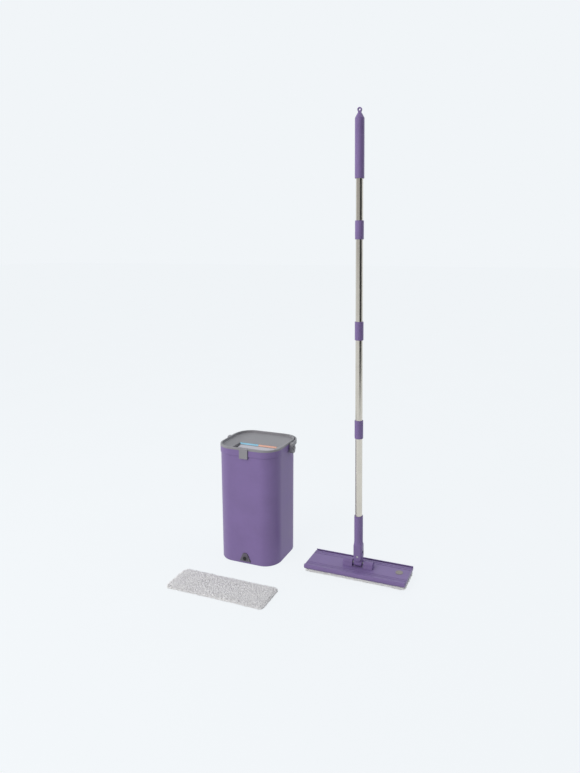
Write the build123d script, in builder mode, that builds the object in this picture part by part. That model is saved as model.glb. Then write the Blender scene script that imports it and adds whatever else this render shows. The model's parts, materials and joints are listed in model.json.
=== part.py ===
from build123d import *
from math import hypot
import os

# Flat mop with its self-wringing bucket and a spare pad. Millimetres, +Z up.
# The origin is the centre of the bucket's underside, -Y is the bucket's front,
# and the mop stands beside the bucket on its +X side.

os.makedirs("parts", exist_ok=True)

# ---- Fits shared by several pieces
PIN_FIT = 0.05        # radial clearance of every pin, axle and pole tube
SLIP_GAP = 0.4        # clearance of a piece that lifts out of another
SIDE_GAP = 0.5        # end play of a turning piece between two cheeks
DROP_GAP = 0.3        # clearance round small pieces let into a recess
EDGE_ROUND = 1.2      # softened edges of small grey pieces

# ---- Bucket shell: tapered, with large corner rounds and a flared band at the mouth
BASE_X = 198
BASE_Y = 176
MOUTH_X = 203
MOUTH_Y = 179
CORNER = 51           # corner radius of the walls in plan
WALL = 2.6
FLOOR = 3.5
BASE_ROUND = 4        # rounding between the walls and the underside
BAND_LOW = 337        # height where the walls step out into the band
BAND_HEIGHT = 20
BAND_PROUD = 2
BAND_BEVEL = 1.6      # slope under the band's lower edge

# ---- Drain in the front wall
DRAIN_WIDTH = 38
DRAIN_TOP_WIDTH = 14
DRAIN_LOW = 8
DRAIN_HEIGHT = 26
DRAIN_TOP_RADIUS = 9
DRAIN_HOLE_Z = 18
DRAIN_PROUD = 3
DRAIN_RECESS = 1.1
PLUG_RADIUS = 6.4
PLUG_FACE_PROUD = 0.8
PLUG_INSIDE = 3       # length of the plug past the inner wall
PLUG_GRIP_LENGTH = 9
PLUG_GRIP_WIDTH = 2.4
PLUG_GRIP_PROUD = 1.6
BEZEL_RING = 3        # width of the raised ring round the plug
BEZEL_RING_PROUD = 1.2

# ---- Wringer insert: rim flange, dished deck, slot and neck notch
FLANGE_THICK = 6
FLANGE_ROUND = 1.8
FLANGE_WIDTH = 5      # from the outer edge to the dish
SKIRT_DEPTH = 16
SKIRT_WALL = 2.2
SKIRT_ROOF = 3        # solid left under the flange
DISH_DROP = 7         # from the flange's top to the dish's edge
DISH_FALL = 10        # from the dish's edge down to the slot
DECK_THICK = 2.8
SLOT_X = 134
SLOT_BACK = 2.5
SLOT_FRONT = -54
SLOT_CORNER = 3
COLLAR_WALL = 2.4
COLLAR_DEPTH = 16     # from the slot's edge down to the guide channel
NOTCH_X = 36          # the mop's neck passes here
NOTCH_FRONT = -80

# ---- Sloped seat for the labels along the slot's rear edge
SEAT_SLOPE_Y = 4.5
SEAT_SLOPE_Z = 5
SEAT_BEHIND = 2.5     # solid behind the slope's upper edge
SEAT_UNDER = 3        # solid below the slope's lower edge
LABEL_THICK = 0.6
LABEL_MARGIN = 0.6
LABEL_SPLIT = 0.6     # gap between the two labels

# ---- Guide channel, scraper and guide rollers below the slot
CHANNEL_LOW = 90
VENT_WIDTH = 12
VENT_HEIGHT = 120
VENT_PITCH = 26
VENT_COUNT = 5
VENT_RISE = 40        # from the channel's lower end to the vents
ROLLER_RADIUS = 9
ROLLER_BACK = -32     # rear face of the rollers, where the head's top face runs
ROLLER_DROP = 30      # from the slot's edge down to the axle
ROLLER_BEVEL = 1
AXLE_RADIUS = 2
BRACKET_INNER = 47.5  # clears the head's bearing caps
BRACKET_THICK = 2
BRACKET_HEIGHT = 24
BRACKET_PAST_AXLE = 5
SCRAPER_THICK = 3
SCRAPER_TOP_GAP = 0.5
RAMP_Y = 16.5         # the scraper's upper part leads the pad in
RAMP_FALL = 3.5
SCRAPER_DROP = 32     # from the slot's edge down to the scraper's lower edge
SCRAPER_FOOT = 10     # height of the scraper's face against the collar
LIP_THICK = 1.8
LIP_ABOVE = 5         # above and below the scraper's lower edge
LIP_BELOW = 4

# ---- Front latch
LATCH_X = 28
LATCH_THICK = 3.4
LATCH_DROP = 31.5     # from the rim's top down to the latch's lower edge
KNUCKLE_RADIUS = 2.4
KNUCKLE_INSET = 2.5   # hinge axis behind the flange's outer edge
LATCH_PIN_RADIUS = 1.2
LATCH_PIN_INTO_FLANGE = 4

# ---- Bail
BAIL_Y = 20
BAIL_DROP = 19        # from the rim's top down to the hinge axis
BAIL_THICK = 4.5
BAIL_HEIGHT = 12
BAIL_ABOVE_AXIS = 3   # underside of the strap above the hinge axis
BAIL_SIDE_GAP = 2.5
BAIL_BACK_GAP = 2.5
LUG_Y = 22
LUG_Z = 32
LUG_THICK = 10
LUG_ROUND = 8
BAIL_PIN_RADIUS = 4
BAIL_PIN_HEAD_RADIUS = 6.5
BAIL_PIN_HEAD_THICK = 3
BAIL_BOSS_RADIUS = 7

# ---- Mop: place and pole
MOP_X = 342.8
MOP_Y = -16.5
TUBE_RADIUS = 10.5
TUBE_WALL = 0.6
COLLAR_RADIUS = 12.75
COLLAR_LENGTH = 54
COLLAR_BEVEL = 0.8
COLLAR_WEB = 2        # plastic between two tube ends
FIRST_COLLAR_Z = 438.5
COLLAR_PITCH = 291
COLLAR_COUNT = 3
JOINT_PLUG_LENGTH = 60
GRIP_LOW = 1166
GRIP_LENGTH = 169
GRIP_RADIUS = 13.8
GRIP_ROUND = 2
GRIP_TUBE_DEPTH = 100
CAP_SHOULDER = 13     # height of the cone on top of the grip
CAP_TOP_RADIUS = 7
CAP_SPIGOT = 12
CAP_SPIGOT_RADIUS = 8
EYE_WIDTH = 13.6
EYE_THICK = 6
EYE_TOP = 1365.4
EYE_HOLE_RADIUS = 3
EYE_STEM_RADIUS = 3
EYE_STEM_LENGTH = 8
EYE_HEAD_RADIUS = 4
EYE_HEAD_LENGTH = 2.5
EYE_WAIST = 9
EYE_ROUND = 1
EYE_GAP = 0.3

# ---- Mop: neck and two-way joint
NECK_SIZE = 26
NECK_TOP = 177
NECK_ROUND = 1.2
FORK_CORNER = 5
FORK_TOP = 88         # square below, round above
FORK_BLEND = 9
SOCKET_FLOOR = 120
NECK_PIN_ABOVE = 23.5 # neck pin above the trunnion axis
NECK_PIN_RADIUS = 3
NECK_PIN_SHY = 0.5    # pin ends below the ears' faces
TONGUE_THICK = 16
TONGUE_GAP = 0.3
FORK_ROOF_GAP = 1.5
TRUNNION_ABOVE = 9.5  # trunnion axis above the head plate
TRUNNION_RADIUS = 3.5
BARREL_RADIUS = 8.7
BARREL_LENGTH = 25
BARREL_BEVEL = 2

# ---- Mop: head
PAD_X = 312
PAD_Y = 104
PAD_CORNER = 8
PILE_THICK = 9.5
BACKING_THICK = 1.6
HOOK_THICK = 1.2
HOOK_X = 290
HOOK_Y = 22
HOOK_SPREAD = 60      # between the centre lines of the two hook strips
HEAD_X = 309
HEAD_Y = 107
PLATE_THICK = 9.7
RAIL_PROUD = 2
RAIL_WIDTH = 6.5
RAIL_ROUND = 3.5
UNDERCUT = 2.2        # shadow step along the plate's lower edge
UNDERCUT_HEIGHT = 3
CHANNEL_RADIUS = 3.4
CHANNEL_Z = 8.2       # above the plate's underside
GROOVE_OFFSETS = (28, 36)
GROOVE_WIDTH = 1.8
GROOVE_DEPTH = 1.2
BEARING_GAP = 35      # between the two bearing caps
BEARING_LENGTH = 28.5
BEARING_RADIUS = 9
BEARING_FOOT = 24
BEARING_END_WALL = 5
SCREW_RADIUS = 1.5
SCREW_HEAD_RADIUS = 3
SCREW_HEAD_THICK = 2
SCREW_INTO_CAP = 5
SCREW_SPACING = 15
BADGE_RADIUS = 11
BADGE_THICK = 1.2
BADGE_SUNK = 0.5
BADGE_X = 124
BADGE_Y = 5

# ---- Spare pad, lying pile up in front of the bucket
SPARE_X = 7.7
SPARE_Y = -238

# ---- Heights and outlines worked out from the values above
BAND_TOP = BAND_LOW + BAND_HEIGHT
BAND_X = MOUTH_X + 2 * BAND_PROUD
BAND_Y = MOUTH_Y + 2 * BAND_PROUD
BAND_CORNER = CORNER + BAND_PROUD
RIM_TOP = BAND_TOP + FLANGE_THICK
DISH_EDGE = RIM_TOP - DISH_DROP
SLOT_EDGE = DISH_EDGE - DISH_FALL
SEAT_LOW = SLOT_EDGE - SEAT_SLOPE_Z
SEAT_BACK = SLOT_BACK + SEAT_SLOPE_Y + SEAT_BEHIND
COLLAR_LOW = SLOT_EDGE - COLLAR_DEPTH
VENT_MIDDLE_Z = CHANNEL_LOW + VENT_RISE + VENT_HEIGHT / 2
ROLLER_Z = SLOT_EDGE - ROLLER_DROP
SCRAPER_LOW = SLOT_EDGE - SCRAPER_DROP
LATCH_LOW = RIM_TOP - LATCH_DROP
BAIL_Z = RIM_TOP - BAIL_DROP
SLOT_Y = SLOT_BACK - SLOT_FRONT
SLOT_MIDDLE = (SLOT_BACK + SLOT_FRONT) / 2
DRAIN_TOP = DRAIN_LOW + DRAIN_HEIGHT
FRONT_AT_DRAIN = BASE_Y / 2 + (MOUTH_Y - BASE_Y) / 2 * DRAIN_LOW / BAND_LOW
LATCH_AXIS_Y = -BAND_Y / 2 + KNUCKLE_INSET
LATCH_AXIS_Z = BAND_TOP + FLANGE_THICK / 2
BAIL_BACK = BAIL_Y + hypot(BAND_Y / 2 - BAIL_Y, RIM_TOP - BAIL_Z) + BAIL_BACK_GAP
BAIL_INNER = BAND_X / 2 + BAIL_SIDE_GAP
PLATE_LOW = PILE_THICK + BACKING_THICK + HOOK_THICK
PLATE_TOP = PLATE_LOW + PLATE_THICK
TRUNNION_Z = PLATE_TOP + TRUNNION_ABOVE
NECK_PIN_Z = TRUNNION_Z + NECK_PIN_ABOVE
COLLAR_HEIGHTS = [FIRST_COLLAR_Z + COLLAR_PITCH * i for i in range(COLLAR_COUNT)]
GRIP_TOP = GRIP_LOW + GRIP_LENGTH
CAP_TOP = GRIP_TOP + CAP_SHOULDER


def mop_level(height):
    """Horizontal plane on the pole's axis."""
    return Plane((MOP_X, MOP_Y, height))


def across(x, y=0.0, z=0.0):
    """Upright plane facing +X, with its own axes along +Y and +Z."""
    return Plane((x, y, z), x_dir=(0, 1, 0), z_dir=(1, 0, 0))


def facing_back(x, y, z):
    """Upright plane facing +Y, with its own axes along -X and +Z."""
    return Plane((x, y, z), x_dir=(-1, 0, 0), z_dir=(0, 1, 0))


# ======== Bucket ========

def drain_outline(gap):
    """Corners of the drain bezel's outline on the front wall, grown by a gap."""
    foot = DRAIN_WIDTH / 2 + gap
    head = DRAIN_TOP_WIDTH / 2 + gap
    return (
        (-foot, DRAIN_LOW - gap),
        (foot, DRAIN_LOW - gap),
        (head, DRAIN_TOP + gap),
        (-head, DRAIN_TOP + gap),
    )


with BuildPart() as bucket_shell:
    with BuildSketch(Plane.XY):
        RectangleRounded(BASE_X, BASE_Y, CORNER)
    with BuildSketch(Plane.XY.offset(BAND_LOW)):
        RectangleRounded(MOUTH_X, MOUTH_Y, CORNER)
    loft(ruled=True)
    fillet(bucket_shell.edges().group_by(Axis.Z)[0], BASE_ROUND)
    with BuildSketch(Plane.XY.offset(BAND_LOW)):
        RectangleRounded(BAND_X, BAND_Y, BAND_CORNER)
    extrude(amount=BAND_HEIGHT)
    under_band = bucket_shell.faces().filter_by(Axis.Z).sort_by(Axis.Z)[-2]
    chamfer(under_band.outer_wire().edges(), BAND_BEVEL)
    # Bosses that space the bail's lugs off the band
    with BuildSketch(across(-BAND_X / 2 - BAIL_SIDE_GAP + DROP_GAP)):
        with Locations((BAIL_Y, BAIL_Z)):
            Circle(BAIL_BOSS_RADIUS)
    extrude(amount=BAND_X + 2 * BAIL_SIDE_GAP - 2 * DROP_GAP)
    # Cavity
    with BuildSketch(Plane.XY.offset(FLOOR)):
        RectangleRounded(BASE_X - 2 * WALL, BASE_Y - 2 * WALL, CORNER - WALL)
    with BuildSketch(Plane.XY.offset(BAND_LOW)):
        RectangleRounded(MOUTH_X - 2 * WALL, MOUTH_Y - 2 * WALL, CORNER - WALL)
    loft(ruled=True, mode=Mode.SUBTRACT)
    with BuildSketch(Plane.XY.offset(BAND_LOW)):
        RectangleRounded(BAND_X - 2 * WALL, BAND_Y - 2 * WALL, BAND_CORNER - WALL)
    extrude(amount=BAND_HEIGHT, mode=Mode.SUBTRACT)
    # Bores for the bail pins, right through both sides of the band
    with BuildSketch(across(-BAND_X)):
        with Locations((BAIL_Y, BAIL_Z)):
            Circle(BAIL_PIN_RADIUS + PIN_FIT)
    extrude(amount=2 * BAND_X, mode=Mode.SUBTRACT)
    # Flat recess for the drain bezel and the drain hole
    with BuildSketch(facing_back(0, -FRONT_AT_DRAIN - DRAIN_PROUD, 0)):
        Polygon(*drain_outline(DROP_GAP), align=None)
        fillet(vertices().group_by(Axis.Y)[-1], DRAIN_TOP_RADIUS)
    extrude(amount=DRAIN_PROUD + DRAIN_RECESS, mode=Mode.SUBTRACT)
    with BuildSketch(facing_back(0, -BASE_Y, DRAIN_HOLE_Z)):
        Circle(PLUG_RADIUS + PIN_FIT)
    extrude(amount=BASE_Y, mode=Mode.SUBTRACT)
bucket_shell.part.label = "bucket_shell"
export_step(bucket_shell.part, "parts/bucket_shell.step")

with BuildPart() as drain_bezel:
    with BuildSketch(facing_back(0, -FRONT_AT_DRAIN - DRAIN_PROUD, 0)):
        Polygon(*drain_outline(0), align=None)
        fillet(vertices().group_by(Axis.Y)[-1], DRAIN_TOP_RADIUS)
    extrude(amount=DRAIN_PROUD + DRAIN_RECESS)
    fillet(drain_bezel.faces().sort_by(Axis.Y)[0].edges(), EDGE_ROUND)
    with BuildSketch(facing_back(0, -FRONT_AT_DRAIN - DRAIN_PROUD - BEZEL_RING_PROUD, DRAIN_HOLE_Z)):
        Circle(PLUG_RADIUS + PIN_FIT + BEZEL_RING)
    extrude(amount=BEZEL_RING_PROUD + DRAIN_PROUD)
    with BuildSketch(facing_back(0, -BASE_Y, DRAIN_HOLE_Z)):
        Circle(PLUG_RADIUS + PIN_FIT)
    extrude(amount=BASE_Y, mode=Mode.SUBTRACT)
drain_bezel.part.label = "drain_bezel"
export_step(drain_bezel.part, "parts/drain_bezel.step")

PLUG_FRONT = -FRONT_AT_DRAIN - DRAIN_PROUD - BEZEL_RING_PROUD + PLUG_FACE_PROUD
with BuildPart() as drain_plug:
    with BuildSketch(facing_back(0, PLUG_FRONT, DRAIN_HOLE_Z)):
        Circle(PLUG_RADIUS)
    extrude(amount=-PLUG_FRONT - FRONT_AT_DRAIN + WALL + PLUG_INSIDE)
    # Finger grip across the plug's face
    with BuildSketch(facing_back(0, PLUG_FRONT - PLUG_GRIP_PROUD, DRAIN_HOLE_Z)):
        Rectangle(PLUG_GRIP_LENGTH, PLUG_GRIP_WIDTH)
    extrude(amount=PLUG_GRIP_PROUD)
drain_plug.part.label = "drain_plug"
export_step(drain_plug.part, "parts/drain_plug.step")

# ======== Bail ========

with BuildPart() as bail:
    with BuildSketch(Plane.XY.offset(BAIL_Z + BAIL_ABOVE_AXIS)):
        RectangleRounded(2 * (BAIL_INNER + BAIL_THICK), 2 * (BAIL_BACK + BAIL_THICK),
                         BAND_CORNER + BAIL_SIDE_GAP + BAIL_THICK)
        RectangleRounded(2 * BAIL_INNER, 2 * BAIL_BACK, BAND_CORNER + BAIL_SIDE_GAP,
                         mode=Mode.SUBTRACT)
        with Locations((0, BAIL_Y - BAND_Y)):
            Rectangle(2 * BAND_X, 2 * BAND_Y, mode=Mode.SUBTRACT)
    extrude(amount=BAIL_HEIGHT)
    for start, direction in ((BAIL_INNER, 1), (-BAIL_INNER, -1)):
        with BuildSketch(across(start)):
            with Locations((BAIL_Y, BAIL_Z)):
                RectangleRounded(LUG_Y, LUG_Z, LUG_ROUND)
        extrude(amount=direction * LUG_THICK)
    with BuildSketch(across(-BAND_X)):
        with Locations((BAIL_Y, BAIL_Z)):
            Circle(BAIL_PIN_RADIUS + PIN_FIT)
    extrude(amount=2 * BAND_X, mode=Mode.SUBTRACT)
bail.part.label = "bail"
export_step(bail.part, "parts/bail.step")

for side, direction in (("right", 1), ("left", -1)):
    with BuildPart() as bail_pin:
        with BuildSketch(across(direction * (BAND_X / 2 - WALL))):
            with Locations((BAIL_Y, BAIL_Z)):
                Circle(BAIL_PIN_RADIUS)
        extrude(amount=direction * (WALL + BAIL_SIDE_GAP + LUG_THICK + DROP_GAP))
        with BuildSketch(across(direction * (BAIL_INNER + LUG_THICK + DROP_GAP))):
            with Locations((BAIL_Y, BAIL_Z)):
                Circle(BAIL_PIN_HEAD_RADIUS)
        extrude(amount=direction * BAIL_PIN_HEAD_THICK)
    bail_pin.part.label = f"bail_pin_{side}"
    export_step(bail_pin.part, f"parts/bail_pin_{side}.step")

# ======== Wringer insert ========

SKIRT_X = BAND_X - 2 * WALL - 2 * SLIP_GAP
SKIRT_Y = BAND_Y - 2 * WALL - 2 * SLIP_GAP
SKIRT_CORNER = BAND_CORNER - WALL - SLIP_GAP
DISH_X = BAND_X - 2 * FLANGE_WIDTH
DISH_Y = BAND_Y - 2 * FLANGE_WIDTH
DISH_CORNER = BAND_CORNER - FLANGE_WIDTH

with BuildPart() as top_frame:
    with BuildSketch(Plane.XY.offset(BAND_TOP)):
        RectangleRounded(BAND_X, BAND_Y, BAND_CORNER)
    extrude(amount=FLANGE_THICK)
    fillet(top_frame.faces().sort_by(Axis.Z)[-1].edges(), FLANGE_ROUND)
    with BuildSketch(Plane.XY.offset(BAND_TOP - SKIRT_DEPTH)):
        RectangleRounded(SKIRT_X, SKIRT_Y, SKIRT_CORNER)
    extrude(amount=SKIRT_DEPTH)
    with BuildSketch(Plane.XY.offset(BAND_TOP - SKIRT_DEPTH)):
        RectangleRounded(SKIRT_X - 2 * SKIRT_WALL, SKIRT_Y - 2 * SKIRT_WALL, SKIRT_CORNER - SKIRT_WALL)
    extrude(amount=SKIRT_DEPTH - SKIRT_ROOF, mode=Mode.SUBTRACT)
    # Underside of the dished deck and the collar round the slot
    with BuildSketch(Plane.XY.offset(DISH_EDGE - DECK_THICK / 2)):
        RectangleRounded(SKIRT_X - SKIRT_WALL, SKIRT_Y - SKIRT_WALL, SKIRT_CORNER - SKIRT_WALL / 2)
    with BuildSketch(Plane.XY.offset(SLOT_EDGE - DECK_THICK)):
        with Locations((0, SLOT_MIDDLE)):
            RectangleRounded(SLOT_X + 2 * COLLAR_WALL, SLOT_Y + 2 * COLLAR_WALL, SLOT_CORNER + COLLAR_WALL)
    loft(ruled=True)
    with BuildSketch(Plane.XY.offset(COLLAR_LOW)):
        with Locations((0, SLOT_MIDDLE)):
            RectangleRounded(SLOT_X + 2 * COLLAR_WALL, SLOT_Y + 2 * COLLAR_WALL, SLOT_CORNER + COLLAR_WALL)
    extrude(amount=COLLAR_DEPTH)
    # Dish, slot and notch
    with BuildSketch(Plane.XY.offset(DISH_EDGE)):
        RectangleRounded(DISH_X, DISH_Y, DISH_CORNER)
    with BuildSketch(Plane.XY.offset(SLOT_EDGE)):
        with Locations((0, SLOT_MIDDLE)):
            RectangleRounded(SLOT_X, SLOT_Y, SLOT_CORNER)
    loft(ruled=True, mode=Mode.SUBTRACT)
    with BuildSketch(Plane.XY.offset(DISH_EDGE)):
        RectangleRounded(DISH_X, DISH_Y, DISH_CORNER)
    extrude(amount=DISH_DROP, mode=Mode.SUBTRACT)
    # Seat for the two labels behind the slot
    with BuildSketch(Plane.XY.offset(SEAT_LOW - SEAT_UNDER)):
        with Locations((0, (SLOT_BACK + SEAT_BACK) / 2)):
            Rectangle(SLOT_X, SEAT_BACK - SLOT_BACK)
    extrude(amount=SEAT_SLOPE_Z + SEAT_UNDER)
    with BuildSketch(Plane.XY.offset(COLLAR_LOW)):
        with Locations((0, SLOT_MIDDLE)):
            RectangleRounded(SLOT_X, SLOT_Y, SLOT_CORNER)
        with Locations((0, (SLOT_FRONT + SLOT_CORNER + NOTCH_FRONT) / 2)):
            Rectangle(NOTCH_X, SLOT_FRONT + SLOT_CORNER - NOTCH_FRONT)
    extrude(amount=RIM_TOP - COLLAR_LOW, mode=Mode.SUBTRACT)
    with BuildSketch(across(-SLOT_X / 2)):
        with BuildLine():
            Polyline(
                (SLOT_BACK, SEAT_LOW),
                (SLOT_BACK + SEAT_SLOPE_Y, SLOT_EDGE),
                (SLOT_BACK + SEAT_SLOPE_Y, DISH_EDGE),
                (SLOT_BACK, DISH_EDGE),
                close=True,
            )
        make_face()
    extrude(amount=SLOT_X, mode=Mode.SUBTRACT)
    # Gap and pin bore for the front latch
    with BuildSketch(Plane.XY.offset(BAND_TOP)):
        with Locations((0, -BAND_Y / 2 + FLANGE_WIDTH / 2)):
            Rectangle(LATCH_X + 2 * DROP_GAP, FLANGE_WIDTH)
    extrude(amount=FLANGE_THICK, mode=Mode.SUBTRACT)
    with BuildSketch(across(-LATCH_X / 2 - LATCH_PIN_INTO_FLANGE)):
        with Locations((LATCH_AXIS_Y, LATCH_AXIS_Z)):
            Circle(LATCH_PIN_RADIUS + PIN_FIT)
    extrude(amount=LATCH_X + 2 * LATCH_PIN_INTO_FLANGE, mode=Mode.SUBTRACT)
top_frame.part.label = "top_frame"
export_step(top_frame.part, "parts/top_frame.step")

ROLLER_Y = ROLLER_BACK - ROLLER_RADIUS
CHANNEL_X = SLOT_X + 2 * COLLAR_WALL
CHANNEL_Y = SLOT_Y + 2 * COLLAR_WALL
BRACKET_OUTER = BRACKET_INNER + BRACKET_THICK
BRACKET_DEPTH = ROLLER_Y + BRACKET_PAST_AXLE - SLOT_FRONT

with BuildPart() as guide_channel:
    with BuildSketch(Plane.XY.offset(CHANNEL_LOW)):
        with Locations((0, SLOT_MIDDLE)):
            RectangleRounded(CHANNEL_X, CHANNEL_Y, SLOT_CORNER + COLLAR_WALL)
            RectangleRounded(SLOT_X, SLOT_Y, SLOT_CORNER, mode=Mode.SUBTRACT)
        with Locations((0, SLOT_FRONT)):
            Rectangle(NOTCH_X, 3 * COLLAR_WALL, mode=Mode.SUBTRACT)
    extrude(amount=COLLAR_LOW - CHANNEL_LOW)
    # Brackets that carry the inner ends of the roller axles
    for start in (BRACKET_INNER, -BRACKET_OUTER):
        with BuildSketch(across(start)):
            with Locations((SLOT_FRONT + BRACKET_DEPTH / 2, ROLLER_Z)):
                Rectangle(BRACKET_DEPTH, BRACKET_HEIGHT)
        extrude(amount=BRACKET_THICK)
    with BuildSketch(across(-CHANNEL_X)):
        with Locations((ROLLER_Y, ROLLER_Z)):
            Circle(AXLE_RADIUS + PIN_FIT)
    extrude(amount=2 * CHANNEL_X, mode=Mode.SUBTRACT)
    # Water slots through the rear wall
    with BuildSketch(facing_back(0, SLOT_MIDDLE, VENT_MIDDLE_Z)):
        with GridLocations(VENT_PITCH, 1, VENT_COUNT, 1):
            SlotOverall(VENT_HEIGHT, VENT_WIDTH, rotation=90)
    extrude(amount=CHANNEL_Y, mode=Mode.SUBTRACT)
guide_channel.part.label = "guide_channel"
export_step(guide_channel.part, "parts/guide_channel.step")

for side, direction in (("right", 1), ("left", -1)):
    with BuildPart() as roller:
        with BuildSketch(across(direction * (BRACKET_OUTER + SIDE_GAP))):
            with Locations((ROLLER_Y, ROLLER_Z)):
                Circle(ROLLER_RADIUS)
        extrude(amount=direction * (SLOT_X / 2 - BRACKET_OUTER - 2 * SIDE_GAP))
        chamfer(roller.edges().filter_by(GeomType.CIRCLE), ROLLER_BEVEL)
        with BuildSketch(across(-CHANNEL_X)):
            with Locations((ROLLER_Y, ROLLER_Z)):
                Circle(AXLE_RADIUS + PIN_FIT)
        extrude(amount=2 * CHANNEL_X, mode=Mode.SUBTRACT)
    roller.part.label = f"roller_{side}"
    export_step(roller.part, f"parts/roller_{side}.step")

    with BuildPart() as axle:
        with BuildSketch(across(direction * BRACKET_INNER)):
            with Locations((ROLLER_Y, ROLLER_Z)):
                Circle(AXLE_RADIUS)
        extrude(amount=direction * (CHANNEL_X / 2 - BRACKET_INNER))
    axle.part.label = f"axle_{side}"
    export_step(axle.part, f"parts/axle_{side}.step")

# The scraper starts as a ramp under the labels, then turns down beside the passing head
SCRAPER_TOP = SEAT_LOW - SCRAPER_TOP_GAP
SCRAPER_X = SLOT_X - 2 * SLOT_CORNER
LEG_FRONT = SLOT_BACK - RAMP_Y
LEG_BACK = LEG_FRONT + SCRAPER_THICK
RAMP_LOW = SCRAPER_TOP - RAMP_FALL

with BuildPart() as scraper_plate:
    with BuildSketch(across(-SCRAPER_X / 2)):
        with BuildLine():
            Polyline(
                (SLOT_BACK, SCRAPER_TOP),
                (LEG_FRONT, RAMP_LOW),
                (LEG_FRONT, SCRAPER_LOW),
                (LEG_BACK, SCRAPER_LOW),
                (LEG_BACK, RAMP_LOW - SCRAPER_THICK),
                (SLOT_BACK, SCRAPER_TOP - SCRAPER_FOOT),
                close=True,
            )
        make_face()
        fillet(vertices().group_by(Axis.X)[0].sort_by(Axis.Y)[-1], SCRAPER_THICK / 2)
    extrude(amount=SCRAPER_X)
scraper_plate.part.label = "scraper_plate"
export_step(scraper_plate.part, "parts/scraper_plate.step")

with BuildPart() as scraper_lip:
    with BuildSketch(across(-SCRAPER_X / 2)):
        with Locations((LEG_FRONT - LIP_THICK / 2, SCRAPER_LOW + (LIP_ABOVE - LIP_BELOW) / 2)):
            Rectangle(LIP_THICK, LIP_ABOVE + LIP_BELOW)
    extrude(amount=SCRAPER_X)
scraper_lip.part.label = "scraper_lip"
export_step(scraper_lip.part, "parts/scraper_lip.step")

# Two plain coloured labels side by side on the seat's slope
LABEL_FOOT = Vector(SLOT_BACK, SEAT_LOW)
UP_SEAT = Vector(SEAT_SLOPE_Y, SEAT_SLOPE_Z).normalized()
OFF_SEAT = Vector(-SEAT_SLOPE_Z, SEAT_SLOPE_Y).normalized()
LABEL_HEIGHT = hypot(SEAT_SLOPE_Y, SEAT_SLOPE_Z) - 2 * LABEL_MARGIN
LABEL_LOW = LABEL_FOOT + UP_SEAT * LABEL_MARGIN

for word, direction in (("dry", 1), ("wash", -1)):
    with BuildPart() as slot_label:
        with BuildSketch(across(direction * LABEL_SPLIT / 2)):
            with BuildLine():
                Polyline(
                    LABEL_LOW,
                    LABEL_LOW + UP_SEAT * LABEL_HEIGHT,
                    LABEL_LOW + UP_SEAT * LABEL_HEIGHT + OFF_SEAT * LABEL_THICK,
                    LABEL_LOW + OFF_SEAT * LABEL_THICK,
                    close=True,
                )
            make_face()
        extrude(amount=direction * (SLOT_X / 2 - LABEL_MARGIN - LABEL_SPLIT / 2))
    slot_label.part.label = f"label_{word}"
    export_step(slot_label.part, f"parts/label_{word}.step")

LATCH_BACK = -BAND_Y / 2 - DROP_GAP
LATCH_FRONT = LATCH_BACK - LATCH_THICK
LATCH_TOP = LATCH_AXIS_Z + KNUCKLE_RADIUS
with BuildPart() as front_latch:
    with BuildSketch(across(-LATCH_X / 2)):
        with Locations((LATCH_AXIS_Y, LATCH_AXIS_Z)):
            Circle(KNUCKLE_RADIUS)
        with BuildLine():
            Polyline(
                (LATCH_AXIS_Y, LATCH_TOP),
                (LATCH_FRONT, LATCH_TOP),
                (LATCH_FRONT, LATCH_LOW),
                (LATCH_BACK, LATCH_LOW),
                (LATCH_BACK, LATCH_AXIS_Z - KNUCKLE_RADIUS),
                (LATCH_AXIS_Y, LATCH_AXIS_Z - KNUCKLE_RADIUS),
                close=True,
            )
        make_face()
        fillet(vertices().sort_by(Axis.X).group_by(Axis.X)[0], EDGE_ROUND)
        with Locations((LATCH_AXIS_Y, LATCH_AXIS_Z)):
            Circle(LATCH_PIN_RADIUS + PIN_FIT, mode=Mode.SUBTRACT)
    extrude(amount=LATCH_X)
front_latch.part.label = "front_latch"
export_step(front_latch.part, "parts/front_latch.step")

with BuildPart() as latch_pin:
    with BuildSketch(across(-LATCH_X / 2 - LATCH_PIN_INTO_FLANGE)):
        with Locations((LATCH_AXIS_Y, LATCH_AXIS_Z)):
            Circle(LATCH_PIN_RADIUS)
    extrude(amount=LATCH_X + 2 * LATCH_PIN_INTO_FLANGE)
latch_pin.part.label = "latch_pin"
export_step(latch_pin.part, "parts/latch_pin.step")

# ======== Mop: pole ========

TUBE_BORE = TUBE_RADIUS - TUBE_WALL
PLUG_OUTER = TUBE_BORE - PIN_FIT
TUBE_LOWS = [SOCKET_FLOOR] + [z + COLLAR_WEB / 2 for z in COLLAR_HEIGHTS]
TUBE_HIGHS = [z - COLLAR_WEB / 2 for z in COLLAR_HEIGHTS] + [GRIP_LOW + GRIP_TUBE_DEPTH]

for number, (low, high) in enumerate(zip(reversed(TUBE_LOWS), reversed(TUBE_HIGHS)), start=1):
    with BuildPart() as tube:
        with BuildSketch(mop_level(low)):
            Circle(TUBE_RADIUS)
            Circle(TUBE_BORE, mode=Mode.SUBTRACT)
        extrude(amount=high - low)
    tube.part.label = f"tube_{number}"
    export_step(tube.part, f"parts/tube_{number}.step")

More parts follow.
